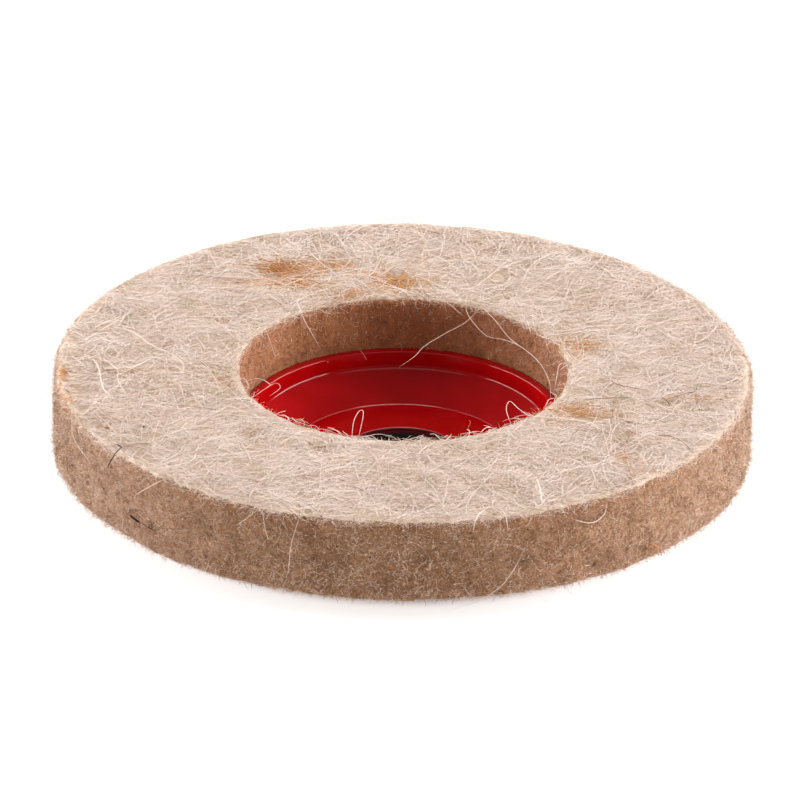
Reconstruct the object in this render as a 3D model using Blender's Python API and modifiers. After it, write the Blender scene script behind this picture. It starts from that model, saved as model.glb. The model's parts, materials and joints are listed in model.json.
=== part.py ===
"""Felt polishing wheel, 100 mm across, for a small angle grinder.

A die-cut ring of pressed wool felt is glued to a moulded red plastic plate. The plate has a
flat flange under the felt, a collar that rises inside the felt's hole and centres it, and a
sunken hub with a plain 16 mm bore, where the grinder's nut clamps it.

Run it with: blender --background --python part.py
Metres, +Z along the spindle axis towards the working face. The origin is on that axis, on the
hub's back face, which is also what the wheel stands on.
"""

import math

import bmesh
import bpy

MM = 0.001

# Driving dimensions
WHEEL_RADIUS = 50.0 * MM
FELT_THICKNESS = 12.7 * MM
FELT_HOLE_RADIUS = 23.6 * MM
SPINDLE_BORE_RADIUS = 8.0 * MM
HUB_THICKNESS = 2.7 * MM
FLANGE_RADIUS = 42.0 * MM
FLANGE_THICKNESS = 2.2 * MM
FLANGE_RISE = 0.3 * MM  # of its top over the hub's floor
COLLAR_HEIGHT = 5.4 * MM  # above the flange
COLLAR_RADIUS = 23.3 * MM
GAP = 0.3 * MM  # left between pieces that rest on each other
WALL = 2.0 * MM

# The pool of adhesive in the flange
GLUE_INNER_RADIUS = 27.0 * MM
GLUE_OUTER_RADIUS = 39.0 * MM
GLUE_POCKET_DEPTH = 0.8 * MM

# The dish between the collar and the hub, seen from the working side
CREST_INNER_RADIUS = 21.9 * MM
WALL_FOOT_RADIUS = 21.5 * MM  # where the collar's inner wall meets the cone
WALL_FOOT_HEIGHT = 3.35 * MM  # above the hub's floor
WALL_FOOT_FILLET = 0.9 * MM
FLOOR_RADIUS = 15.8 * MM
FLOOR_FILLET = 0.8 * MM

# Stiffening ribs on the back
COLLAR_RIBS = 12
COLLAR_RIB_WIDTH = 1.4 * MM
FLANGE_RIBS = 24
FLANGE_RIB_WIDTH = 1.2 * MM
FLANGE_RIB_HEIGHT = 0.5 * MM
FLANGE_RIB_SPAN = (25.5 * MM, 38.0 * MM)
RIB_OVERLAP = 0.5 * MM  # how far a rib runs into the wall it joins
RIB_RECESS = 0.3 * MM  # how far the collar ribs stay under the flange's back
RIM_BEAD_WIDTH = 2.2 * MM
RIM_BEAD_HEIGHT = 0.4 * MM

TURN_STEPS = 72
ARC_STEPS = 2

# Levels along the axis
HUB_FLOOR_Z = HUB_THICKNESS
FLANGE_TOP_Z = HUB_FLOOR_Z + FLANGE_RISE
FLANGE_BACK_Z = FLANGE_TOP_Z - FLANGE_THICKNESS
COLLAR_TOP_Z = FLANGE_TOP_Z + COLLAR_HEIGHT
WALL_FOOT_Z = HUB_FLOOR_Z + WALL_FOOT_HEIGHT
FELT_BACK_Z = FLANGE_TOP_Z + GAP
FELT_FACE_Z = FELT_BACK_Z + FELT_THICKNESS


def clear_scene():
    """Removes the startup objects, so that only the wheel is left."""
    for obj in list(bpy.data.objects):
        bpy.data.objects.remove(obj, do_unlink=True)


def new_collection(name):
    collection = bpy.data.collections.new(name)
    bpy.context.scene.collection.children.link(collection)
    return collection


def plain_material(name, colour, roughness, metallic=0.0):
    material = bpy.data.materials.new(name)
    material.use_nodes = True
    shader = material.node_tree.nodes["Principled BSDF"]
    shader.inputs["Base Color"].default_value = (*colour, 1.0)
    shader.inputs["Roughness"].default_value = roughness
    shader.inputs["Metallic"].default_value = metallic
    return material


def rounded_outline(corners):
    """Points of a closed outline, from corners (radius, height, fillet), each fillet an arc."""
    points = []
    count = len(corners)
    for i, (x, z, fillet) in enumerate(corners):
        if fillet == 0:
            points.append((x, z))
            continue
        before, after = corners[i - 1], corners[(i + 1) % count]
        to_before = unit(before[0] - x, before[1] - z)
        to_after = unit(after[0] - x, after[1] - z)
        cosine = to_before[0] * to_after[0] + to_before[1] * to_after[1]
        half_angle = math.acos(cosine) / 2
        middle = unit(to_before[0] + to_after[0], to_before[1] + to_after[1])
        reach = fillet / math.sin(half_angle)
        centre = (x + middle[0] * reach, z + middle[1] * reach)
        tangent = fillet / math.tan(half_angle)
        start = (x + to_before[0] * tangent, z + to_before[1] * tangent)
        end = (x + to_after[0] * tangent, z + to_after[1] * tangent)
        points += arc(centre, start, end)
    return points


def unit(x, z):
    length = math.hypot(x, z)
    return x / length, z / length


def arc(centre, start, end):
    """Points along the shorter arc from start to end about centre."""
    radius = math.hypot(start[0] - centre[0], start[1] - centre[1])
    first = math.atan2(start[1] - centre[1], start[0] - centre[0])
    last = math.atan2(end[1] - centre[1], end[0] - centre[0])
    sweep = (last - first + math.pi) % (2 * math.pi) - math.pi
    angles = [first + sweep * i / ARC_STEPS for i in range(ARC_STEPS + 1)]
    return [(centre[0] + radius * math.cos(a), centre[1] + radius * math.sin(a)) for a in angles]


def turned(name, corners, collection, material):
    """A ring turned about Z. The outline runs down its outer side, inwards, up and outwards."""
    points = rounded_outline(corners)
    mesh = bpy.data.meshes.new(name)
    edges = [(i, (i + 1) % len(points)) for i in range(len(points))]
    mesh.from_pydata([(x, 0.0, z) for x, z in points], edges, [])
    obj = bpy.data.objects.new(name, mesh)
    collection.objects.link(obj)
    mesh.materials.append(material)
    screw = obj.modifiers.new("Turn", "SCREW")
    screw.axis = "Z"
    screw.angle = math.tau
    screw.steps = TURN_STEPS
    screw.render_steps = TURN_STEPS
    screw.use_merge_vertices = True
    screw.merge_threshold = 0.00001
    screw.use_smooth_shade = True
    return obj


def felt_ring(collection, material):
    """The wheel's working part: a flat ring of felt, cut with slightly soft edges."""
    soft_edge = 0.8 * MM
    corners = [
        (WHEEL_RADIUS, FELT_FACE_Z, soft_edge),
        (WHEEL_RADIUS, FELT_BACK_Z, soft_edge),
        (FELT_HOLE_RADIUS, FELT_BACK_Z, soft_edge),
        (FELT_HOLE_RADIUS, FELT_FACE_Z, soft_edge),
    ]
    return turned("felt_ring", corners, collection, material)


def adhesive_ring(collection, material):
    """The film of cured adhesive between the flange's pocket and the felt's back."""
    bottom = FLANGE_TOP_Z - GLUE_POCKET_DEPTH + GAP
    corners = [
        (GLUE_OUTER_RADIUS - GAP, FLANGE_TOP_Z, 0.0),
        (GLUE_OUTER_RADIUS - GAP, bottom, 0.0),
        (GLUE_INNER_RADIUS + GAP, bottom, 0.0),
        (GLUE_INNER_RADIUS + GAP, FLANGE_TOP_Z, 0.0),
    ]
    return turned("adhesive_ring", corners, collection, material)


def plate_outline():
    """The backing plate's section: flange, hollow collar, dish and hub, from the rim inwards."""
    pocket_floor = FLANGE_TOP_Z - GLUE_POCKET_DEPTH
    bead_z = FLANGE_BACK_Z - RIM_BEAD_HEIGHT
    bead_inner = FLANGE_RADIUS - RIM_BEAD_WIDTH
    back = [
        (FLANGE_RADIUS, FLANGE_TOP_Z, 0.4 * MM),
        (FLANGE_RADIUS, bead_z, 0.5 * MM),
        (bead_inner, bead_z, 0.2 * MM),
        (bead_inner - RIM_BEAD_HEIGHT, FLANGE_BACK_Z, 0.2 * MM),
    ]
    slope = WALL_FOOT_HEIGHT / (WALL_FOOT_RADIUS - FLOOR_RADIUS)
    ceiling_drop = WALL * math.hypot(1.0, slope)
    channel_outer = COLLAR_RADIUS - WALL
    channel_inner = FLOOR_RADIUS + 0.9 * MM
    ceiling_outer_z = WALL_FOOT_Z - ceiling_drop
    ceiling_inner_z = ceiling_outer_z - slope * (channel_outer - channel_inner - 0.6 * MM)
    channel = [
        (channel_outer + 0.3 * MM, FLANGE_BACK_Z, 0.3 * MM),
        (channel_outer, ceiling_outer_z, 0.5 * MM),
        (channel_inner + 0.6 * MM, ceiling_inner_z, 0.3 * MM),
        (channel_inner, 0.0, 0.3 * MM),
    ]
    bore_edge = 0.4 * MM
    hub = [
        (SPINDLE_BORE_RADIUS, 0.0, bore_edge),
        (SPINDLE_BORE_RADIUS, HUB_FLOOR_Z, bore_edge),
        (FLOOR_RADIUS, HUB_FLOOR_Z, FLOOR_FILLET),
    ]
    dish = [
        (WALL_FOOT_RADIUS, WALL_FOOT_Z, WALL_FOOT_FILLET),
        (CREST_INNER_RADIUS, COLLAR_TOP_Z, 0.35 * MM),
        (COLLAR_RADIUS, COLLAR_TOP_Z, 0.3 * MM),
    ]
    pocket = [
        (COLLAR_RADIUS, FLANGE_TOP_Z, 0.0),
        (GLUE_INNER_RADIUS, FLANGE_TOP_Z, 0.0),
        (GLUE_INNER_RADIUS, pocket_floor, 0.0),
        (GLUE_OUTER_RADIUS, pocket_floor, 0.0),
        (GLUE_OUTER_RADIUS, FLANGE_TOP_Z, 0.0),
    ]
    return back + channel + hub + dish + pocket


def rib_mesh(section, width, count):
    """Radial ribs of one section (radius, height), set evenly round the axis, as one mesh."""
    bm = bmesh.new()
    for i in range(count):
        turn = math.tau * i / count
        along = (math.cos(turn), math.sin(turn))
        across = (-along[1] * width / 2, along[0] * width / 2)
        corners = [
            bm.verts.new((r * along[0] - across[0], r * along[1] - across[1], z))
            for r, z in section
        ]
        side = bm.faces.new(corners)
        made = bmesh.ops.extrude_face_region(bm, geom=[side])
        moved = [v for v in made["geom"] if isinstance(v, bmesh.types.BMVert)]
        bmesh.ops.translate(bm, verts=moved, vec=(2 * across[0], 2 * across[1], 0.0))
    bmesh.ops.recalc_face_normals(bm, faces=bm.faces)
    mesh = bpy.data.meshes.new("ribs")
    bm.to_mesh(mesh)
    bm.free()
    return mesh


def join_ribs(plate, name, mesh, helpers):
    """Joins a set of ribs to the plate with a Boolean union."""
    tool = bpy.data.objects.new(name, mesh)
    helpers.objects.link(tool)
    tool.hide_render = True
    tool.display_type = "WIRE"
    union = plate.modifiers.new(name, "BOOLEAN")
    union.operation = "UNION"
    union.solver = "EXACT"
    union.object = tool


def backing_plate(collection, helpers, material):
    """The moulded plate, with ribs across the hollow under its collar and along its flange."""
    plate = turned("backing_plate", plate_outline(), collection, material)
    rib_back = FLANGE_BACK_Z + RIB_RECESS
    collar_section = [
        (FLOOR_RADIUS + 0.3 * MM, rib_back),
        (COLLAR_RADIUS - WALL + RIB_OVERLAP, rib_back),
        (COLLAR_RADIUS - WALL + RIB_OVERLAP, WALL_FOOT_Z - WALL),
        (WALL_FOOT_RADIUS - RIB_OVERLAP, WALL_FOOT_Z - WALL),
        (FLOOR_RADIUS + 0.3 * MM, HUB_FLOOR_Z - WALL / 2),
    ]
    join_ribs(
        plate, "collar_ribs", rib_mesh(collar_section, COLLAR_RIB_WIDTH, COLLAR_RIBS), helpers
    )
    inner, outer = FLANGE_RIB_SPAN
    flange_section = [
        (inner + FLANGE_RIB_HEIGHT, FLANGE_BACK_Z - FLANGE_RIB_HEIGHT),
        (outer - FLANGE_RIB_HEIGHT, FLANGE_BACK_Z - FLANGE_RIB_HEIGHT),
        (outer, FLANGE_BACK_Z),
        (outer, FLANGE_BACK_Z + RIB_OVERLAP),
        (inner, FLANGE_BACK_Z + RIB_OVERLAP),
        (inner, FLANGE_BACK_Z),
    ]
    join_ribs(
        plate, "flange_ribs", rib_mesh(flange_section, FLANGE_RIB_WIDTH, FLANGE_RIBS), helpers
    )
    return plate


def main():
    clear_scene()
    wheel = new_collection("felt_polishing_wheel")
    helpers = new_collection("helpers")
    felt = plain_material("wool_felt", (0.62, 0.47, 0.37), 0.95)
    plastic = plain_material("red_plastic", (0.45, 0.008, 0.011), 0.28)
    glue = plain_material("cured_adhesive", (0.60, 0.45, 0.20), 0.35)
    felt_ring(wheel, felt)
    adhesive_ring(wheel, glue)
    backing_plate(wheel, helpers, plastic)


main()
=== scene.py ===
"""Looks of the felt polishing wheel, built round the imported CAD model.

The wool felt is a displaced ring under a mat of separate fibres: fibres matted flat on the face,
short bristles on the cut walls, fuzz along the edges, and a few long stray hairs. The red plate and
its adhesive keep the CAD's sizes. Lengths are in metres where a comment doesn't say millimetres, and
MM turns millimetres into metres.
"""

import json
import math

import bmesh
import bpy
import numpy as np
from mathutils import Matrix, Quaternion, Vector, noise

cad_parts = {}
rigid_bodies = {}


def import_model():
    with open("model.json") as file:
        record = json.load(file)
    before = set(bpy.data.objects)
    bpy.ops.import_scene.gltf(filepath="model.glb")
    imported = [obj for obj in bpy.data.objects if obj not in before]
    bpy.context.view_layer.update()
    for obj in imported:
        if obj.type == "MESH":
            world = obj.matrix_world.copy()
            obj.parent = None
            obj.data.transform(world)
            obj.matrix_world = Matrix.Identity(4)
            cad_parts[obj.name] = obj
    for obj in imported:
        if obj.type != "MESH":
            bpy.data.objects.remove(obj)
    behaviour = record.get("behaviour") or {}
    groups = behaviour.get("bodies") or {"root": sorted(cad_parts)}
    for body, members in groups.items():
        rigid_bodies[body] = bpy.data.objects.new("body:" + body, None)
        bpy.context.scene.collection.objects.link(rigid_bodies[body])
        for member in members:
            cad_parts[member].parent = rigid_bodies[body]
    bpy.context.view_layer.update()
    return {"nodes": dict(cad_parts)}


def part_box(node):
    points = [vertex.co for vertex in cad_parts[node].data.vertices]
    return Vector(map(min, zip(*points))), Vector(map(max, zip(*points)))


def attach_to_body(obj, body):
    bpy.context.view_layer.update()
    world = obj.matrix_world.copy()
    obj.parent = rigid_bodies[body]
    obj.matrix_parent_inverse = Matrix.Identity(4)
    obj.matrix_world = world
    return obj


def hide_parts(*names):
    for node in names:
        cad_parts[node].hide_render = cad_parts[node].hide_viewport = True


MM = 0.001

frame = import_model()

# Sizes that the frame gives
FELT_LOW, FELT_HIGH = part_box("felt_ring")
OUTER = FELT_HIGH.x
FACE_Z = FELT_HIGH.z
BACK_Z = FELT_LOW.z
HOLE = min(math.hypot(v.co.x, v.co.y) for v in frame["nodes"]["felt_ring"].data.vertices)
PLATE_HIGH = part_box("backing_plate")[1]
GLUE_LOW, GLUE_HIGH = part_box("adhesive_ring")

# The photograph's view: a long lens, from the front and above
VIEW_ELEVATION = math.radians(25.65)
VIEW_ROLL = math.radians(0.81)
VIEW_DISTANCE = 1.93
LENS_MM = 604.0
AIM_BELOW_FACE = 4.47 * MM
AIM_LEFT = 0.4 * MM

# The studio: soft boxes (name, place, size, power in watts), and a floor that glows round the wheel
WORLD_STRENGTH = 0.16
SOFT_BOXES = [
    ("left_box", (-1.555, 0.22, 0.42), (1.8, 0.7), 48.0),
    ("right_box", (1.57, 0.03, 0.42), (1.8, 0.7), 58.5),
    ("back_box", (0.0, 1.20, 1.50), (1.6, 0.8), 12.0),
    ("top_box", (0.08, 0.75, 1.90), (0.9, 0.4), 11.8),
    ("front_box", (0.0, -0.65, 1.90), (2.4, 1.0), 6.5),
]
WHITE = (1.0, 1.0, 1.0)
FLOOR_GREY = (0.45, 0.45, 0.45)
FLOOR_HALF_WIDTH = 3.0
FLOOR_DROP = 0.2 * MM
FLOOR_GLOW = 0.68
GLOW_STARTS = 0.80 * OUTER  # from the wheel's axis
GLOW_IS_FULL = 0.90 * OUTER

# The felt's section
EDGE = 0.8 * MM  # radius of its cut edges
ROUND_STEPS = 720  # round the axis
FACE_ROWS = 48
WALL_ROWS = 24
BACK_ROWS = 12
EDGE_ROWS = 5
BODY_SUNK = 0.10 * MM  # under its plain shape, so that the fibres stand out of it
COLLAR_GRIP = 0.5 * MM  # how far the hole's wall leans in beside the plate's collar
GRIP_FADES_OVER = 4 * MM  # above the collar

# The felt's cut walls: radius, and 1 where outward is away from the axis or -1 where it is towards it
RIM_WALL = (OUTER, 1)
HOLE_WALL = (HOLE, -1)

# Wool shades, as linear colours
SHADES = {
    "pale": (0.89, 0.76, 0.68),
    "cream": (0.81, 0.63, 0.53),
    "straw": (0.72, 0.54, 0.37),
    "olive": (0.52, 0.45, 0.25),
    "tan": (0.47, 0.235, 0.112),
    "hazel": (0.58, 0.245, 0.095),
    "brown": (0.28, 0.127, 0.052),
    "russet": (0.38, 0.15, 0.05),
    "dark": (0.016, 0.010, 0.007),
    "amber": (0.68, 0.33, 0.08),
    "rust": (0.44, 0.15, 0.035),
    "copper": (0.42, 0.10, 0.03),
    # umber: a warm dark, partly real dark fibres and partly painted shade of the gaps between fibres on the
    # cut walls
    "umber": (0.12, 0.058, 0.026),
}
SHADE_NAMES = list(SHADES)

# How much sheen the darker shades have, and the others
SHEENS = {"dark": 0.0, "umber": 0.05, "copper": 0.02, "rust": 0.05, "amber": 0.1, "hazel": 0.05,
          "russet": 0.2, "brown": 0.25, "tan": 0.4}
PALE_SHEEN = 0.5
SHEEN_ROUGHNESS = 0.5
SHEEN_TINT = (1.0, 0.95, 0.90)

# The felt's body, between and under the separate fibres
FELT_COLOURS = {
    "wool": (0.74, 0.57, 0.46),
    "patch": (0.68, 0.56, 0.38),
    # hollow: a darker olive, partly the wool's tone and partly painted shade between the fibres
    "hollow": (0.58, 0.47, 0.29),
    "lint": (0.84, 0.67, 0.57),
    "cut_dark": (0.22, 0.098, 0.042),
    "cut_pale": (0.41, 0.22, 0.118),
    "cut_cloud": (0.22, 0.10, 0.044),
    "under_face": (0.32, 0.125, 0.045),
    "in_hole": (0.40, 0.16, 0.055),
    "stain": (0.60, 0.27, 0.06),
}

# The red plastic: two reds that flow into each other, and the painted shade of the bore's wall near its top
# and further in
PLASTIC_COLOURS = {
    "red": (0.38, 0.001, 0.002),
    "bright_red": (0.43, 0.002, 0.004),
    "bore": (0.11, 0.0005, 0.0007),
    "deep_bore_shade": (0.004, 0.001, 0.001),
}

# The cured adhesive, clear and cloudy
GLUE_COLOURS = {"clear": (0.52, 0.35, 0.13), "cloudy": (0.68, 0.53, 0.28)}

# Rust stains on the face: x, y, half length, half width (mm), strength
STAINS = [
    (-17.5, 33.5, 4.2, 2.6, 1.0),
    (-19.3, 32.2, 1.6, 1.0, 1.0),
    (-11.0, 34.4, 4.0, 1.1, 0.7),
    (-16.5, 28.0, 6.0, 1.6, 0.6),
    (-15.4, 26.2, 1.0, 0.7, 1.0),
    (-7.6, 25.0, 2.6, 1.5, 0.7),
    (-24.0, 28.6, 2.0, 1.6, 0.4),
    (-1.4, 29.6, 3.8, 2.2, 0.9),
    (3.6, 29.8, 2.0, 0.9, 0.5),
    (25.6, 9.0, 3.2, 3.0, 0.45),
    (25.8, -14.0, 4.8, 2.2, 0.6),
    (41.8, -8.4, 2.6, 1.0, 0.5),
    (31.8, -28.6, 1.0, 1.2, 0.8),
    (35.0, -32.8, 0.9, 1.0, 0.6),
    (-49.2, -4.0, 1.2, 4.0, 0.9),
    (-48.2, -11.0, 1.2, 1.6, 0.9),
    (-25.8, 15.8, 0.8, 0.8, 0.6),
    (-25.6, -4.2, 1.2, 2.4, 0.4),
    (-38.6, -2.2, 1.2, 0.8, 0.5),
]


# ----------------------------------------
# Stage
# ----------------------------------------


def make_camera():
    """The camera at the photograph's angle. Its anticlockwise roll turns the wheel clockwise in view."""
    camera = bpy.data.objects.new("camera", bpy.data.cameras.new("camera"))
    bpy.context.scene.collection.objects.link(camera)
    camera.data.lens = LENS_MM
    camera.data.clip_start = 0.05
    camera.data.clip_end = 20.0
    back = Vector((0.0, -math.cos(VIEW_ELEVATION), math.sin(VIEW_ELEVATION)))
    up = Vector((0.0, math.sin(VIEW_ELEVATION), math.cos(VIEW_ELEVATION)))
    aim = Vector((-AIM_LEFT, 0.0, FACE_Z)) - up * AIM_BELOW_FACE
    camera.location = aim + back * VIEW_DISTANCE
    camera.rotation_mode = "QUATERNION"
    camera.rotation_quaternion = (-back).to_track_quat("-Z", "Y") @ Quaternion((0, 0, 1), VIEW_ROLL)
    bpy.context.scene.camera = camera


def soft_box(name, place, size, power):
    """A rectangular lamp that looks at the wheel."""
    light = bpy.data.lights.new(name, "AREA")
    light.shape = "RECTANGLE"
    light.size, light.size_y = size
    light.energy = power
    lamp = bpy.data.objects.new(name, light)
    bpy.context.scene.collection.objects.link(lamp)
    lamp.location = place
    lamp.rotation_mode = "QUATERNION"
    lamp.rotation_quaternion = (-Vector(place)).to_track_quat("-Z", "Y")


def make_lights():
    """A dim white surround and the soft boxes."""
    world = bpy.data.worlds.new("studio")
    world.use_nodes = True
    background = world.node_tree.nodes["Background"]
    background.inputs["Color"].default_value = (*WHITE, 1.0)
    background.inputs["Strength"].default_value = WORLD_STRENGTH
    bpy.context.scene.world = world
    bpy.context.scene.view_settings.view_transform = "Standard"
    for name, place, size, power in SOFT_BOXES:
        soft_box(name, place, size, power)


def make_floor():
    """A white floor just under the wheel. It doesn't glow under it, so a faint contact shadow is left."""
    half = FLOOR_HALF_WIDTH
    corners = [(-half, -half, 0.0), (half, -half, 0.0), (half, half, 0.0), (-half, half, 0.0)]
    mesh = bpy.data.meshes.new("floor")
    mesh.from_pydata(corners, [], [(0, 1, 2, 3)])
    floor = bpy.data.objects.new("floor", mesh)
    floor.location.z = -FLOOR_DROP
    bpy.context.scene.collection.objects.link(floor)
    look = Look("pale_floor")
    look.set("Base Color", FLOOR_GREY)
    look.set("Roughness", 0.9)
    look.set("Emission Color", WHITE)
    distance = look.from_axis(look.place())
    glow = look.ramp(distance, GLOW_STARTS / MM, GLOW_IS_FULL / MM, 0.0, FLOOR_GLOW)
    look.set("Emission Strength", glow)
    mesh.materials.append(look.material)


# ----------------------------------------
# Materials
# ----------------------------------------


class Look:
    """A material's node tree, with short calls that add and link its nodes."""

    def __init__(self, name):
        self.material = bpy.data.materials.new(name)
        self.material.use_nodes = True
        self.tree = self.material.node_tree
        self.shader = self.tree.nodes["Principled BSDF"]

    def set(self, socket, value):
        self.connect(self.shader, socket, value)

    def connect(self, node, socket, value):
        """Sets an input to a plain value, or links it to another node's output. Colours are opaque."""
        target = node.inputs[socket]
        if isinstance(value, bpy.types.NodeSocket):
            self.tree.links.new(value, target)
        elif target.type == "RGBA":
            target.default_value = (*value, 1.0)
        else:
            target.default_value = value

    def add(self, kind, inputs, **settings):
        node = self.tree.nodes.new("ShaderNode" + kind)
        for name, value in settings.items():
            setattr(node, name, value)
        for socket, value in inputs.items():
            self.connect(node, socket, value)
        return node

    def place(self, turn=0.0, stretch=(1.0, 1.0, 1.0)):
        """The point on the object, in millimetres, turned about Z and then stretched."""
        here = self.add("TexCoord", {}).outputs["Object"]
        turned = self.add("Mapping", {"Vector": here, "Rotation": (0.0, 0.0, turn)}).outputs[0]
        scale = tuple(1.0 / MM * s for s in stretch)
        return self.add("Mapping", {"Vector": turned, "Scale": scale}).outputs[0]

    def noise(self, where, size, detail=2.0, rough=0.5, warp=0.0):
        """Smooth noise whose features are about size millimetres across."""
        inputs = {"Vector": where, "Scale": 1.0 / size, "Detail": detail}
        inputs |= {"Roughness": rough, "Distortion": warp}
        return self.add("TexNoise", inputs).outputs["Fac"]

    def ramp(self, value, low, high, bottom=0.0, top=1.0):
        """Maps low..high to bottom..top, and stays within them."""
        inputs = {"Value": value, "From Min": low, "From Max": high, "To Min": bottom, "To Max": top}
        return self.add("MapRange", inputs, interpolation_type="SMOOTHSTEP").outputs[0]

    def sum(self, first, second, operation="ADD"):
        return self.add("Math", {0: first, 1: second}, operation=operation).outputs[0]

    def mix(self, share, first, second):
        """The first colour where share is 0, and the second where it is 1."""
        node = self.add("Mix", {0: share}, data_type="RGBA")
        self.connect(node, 6, first)
        self.connect(node, 7, second)
        return node.outputs[2]

    def height(self, where):
        return self.add("SeparateXYZ", {0: where}).outputs["Z"]

    def from_axis(self, where):
        """The distance from the wheel's axis."""
        flat = self.add("VectorMath", {0: where, 1: (1.0, 1.0, 0.0)}, operation="MULTIPLY").outputs[0]
        return self.add("VectorMath", {0: flat}, operation="LENGTH").outputs["Value"]

    def attribute(self, name):
        return self.add("Attribute", {}, attribute_name=name).outputs["Fac"]

    def bump(self, height, distance, strength=1.0):
        inputs = {"Height": height, "Distance": distance, "Strength": strength}
        self.set("Normal", self.add("Bump", inputs).outputs[0])

    def sheen(self, weight):
        """The soft light that fine fibres catch along their edges."""
        self.set("Sheen Weight", weight)
        self.set("Sheen Roughness", SHEEN_ROUGHNESS)
        self.set("Sheen Tint", SHEEN_TINT)


def fibre_lines(look):
    """Thin crossing lines, like the finest fibres between the modelled ones."""
    lines = None
    for turn in (0.2, 1.1, 1.9, 2.7):
        where = look.place(turn, (0.22, 4.5, 1.0))
        across = look.noise(where, 1.0, detail=1.0, warp=0.6)
        ridge = look.sum(look.sum(across, 0.5, "SUBTRACT"), 0.0, "ABSOLUTE")
        line = look.ramp(ridge, 0.045, 0.0)
        lines = line if lines is None else look.sum(lines, line, "MAXIMUM")
    return lines


def face_colour(look, where):
    """Cream wool with olive patches, darker olive hollows between its fibres that are partly painted shade,
    and the finest fibres over them.
    """
    # The hollows are darker spots at random: partly olive tone, partly painted shade between the fibres
    hollows = look.ramp(look.noise(where, 1.3, detail=3.0), 0.46, 0.66)
    patches = look.ramp(look.noise(where, 7.0, detail=2.0), 0.42, 0.64)
    colour = look.mix(patches, FELT_COLOURS["wool"], FELT_COLOURS["patch"])
    colour = look.mix(hollows, colour, FELT_COLOURS["hollow"])
    return look.mix(look.sum(fibre_lines(look), 0.6, "MULTIPLY"), colour, FELT_COLOURS["lint"])


def cut_colour(look, where, grain):
    """Browner wool where it is cut, in clouds, and redder just under the face and in the hole."""
    clouds = look.ramp(look.noise(where, 3.0, detail=3.0), 0.36, 0.66)
    colour = look.mix(grain, FELT_COLOURS["cut_dark"], FELT_COLOURS["cut_pale"])
    colour = look.mix(look.sum(clouds, 0.6, "MULTIPLY"), colour, FELT_COLOURS["cut_cloud"])
    band = look.ramp(look.height(where), FACE_Z / MM - 3.0, FACE_Z / MM - 1.2, 0.0, 0.3)
    colour = look.mix(band, colour, FELT_COLOURS["under_face"])
    inner, outer = (HOLE + 2 * EDGE) / MM, (HOLE + 3 * EDGE) / MM
    inside = look.ramp(look.from_axis(where), outer, inner, 0.0, 0.7)
    return look.mix(inside, colour, FELT_COLOURS["in_hole"])


def felt_look():
    """Pressed wool: pale on its faces, browner where it is cut with a ragged line between, and stained."""
    look = Look("pressed_wool")
    where = look.place()
    grain = look.ramp(look.noise(where, 0.34, detail=2.0, rough=0.7), 0.38, 0.62)
    ragged = look.ramp(look.noise(where, 1.8, detail=3.0), 0.3, 0.7, -0.3, 0.2)
    share = look.ramp(look.sum(look.attribute("cut"), ragged), 0.2, 0.5)
    colour = look.mix(share, face_colour(look, where), cut_colour(look, where, grain))
    specks_in_stain = look.ramp(look.noise(where, 0.6), 0.42, 0.6)
    stain = look.sum(look.attribute("stain"), specks_in_stain, "MULTIPLY")
    look.set("Base Color", look.mix(stain, colour, FELT_COLOURS["stain"]))
    look.set("Roughness", look.ramp(grain, 0.0, 1.0, 0.85, 1.0))
    look.set("Specular IOR Level", 0.1)
    look.sheen(0.6)
    look.bump(look.noise(where, 0.22, detail=3.0, rough=0.7), 0.12 * MM, 0.8)
    return look.material


def wool_looks():
    """One material for each shade of fibre."""
    looks = []
    for name, colour in SHADES.items():
        look = Look("wool_" + name)
        look.set("Base Color", colour)
        look.set("Roughness", 0.6)
        look.set("Specular IOR Level", 0.02 if name == "dark" else 0.2)
        look.sheen(SHEENS.get(name, PALE_SHEEN))
        looks.append(look.material)
    return looks


def plastic_look():
    """Glossy red plastic, with faint flow marks and fine scuffs. The bore's wall carries painted shade,
    darkening inwards to near black.
    """
    look = Look("red_plastic")
    where = look.place()
    flow = look.ramp(look.noise(where, 6.0, detail=3.0, warp=0.8), 0.3, 0.7)
    red = look.mix(flow, PLASTIC_COLOURS["red"], PLASTIC_COLOURS["bright_red"])
    # Painted shade: the bore's wall is dark red near its top and near black further down
    bore = look.ramp(look.from_axis(where), BORE + 0.4, BORE + 0.15)
    deep = look.ramp(look.height(where), HUB_FLOOR - 0.6, HUB_FLOOR - 1.1)
    shade = look.mix(deep, PLASTIC_COLOURS["bore"], PLASTIC_COLOURS["deep_bore_shade"])
    look.set("Base Color", look.mix(bore, red, shade))
    scuffs = look.noise(where, 0.5, detail=4.0)
    look.set("Roughness", look.ramp(scuffs, 0.3, 0.75, 0.07, 0.11))
    look.set("Specular IOR Level", 0.26)
    look.bump(look.noise(where, 2.5, detail=3.0, rough=0.5), 0.008 * MM, 0.5)
    return look.material


def glue_look():
    """Cured adhesive: amber, a little cloudy."""
    look = Look("cured_adhesive")
    where = look.place()
    cloud = look.ramp(look.noise(where, 2.0, detail=3.0), 0.3, 0.7)
    look.set("Base Color", look.mix(cloud, GLUE_COLOURS["clear"], GLUE_COLOURS["cloudy"]))
    look.set("Roughness", look.ramp(look.noise(where, 0.6), 0.3, 0.7, 0.25, 0.5))
    look.bump(look.noise(where, 0.8, detail=2.0), 0.05 * MM)
    return look.material


# ----------------------------------------
# The felt's body
# ----------------------------------------


def attach(piece):
    """The wheel has one body, so each piece rides on it."""
    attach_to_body(piece, "root")
    return piece


def new_piece(name, mesh):
    piece = bpy.data.objects.new(name, mesh)
    bpy.context.scene.collection.objects.link(piece)
    return attach(piece)


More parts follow.
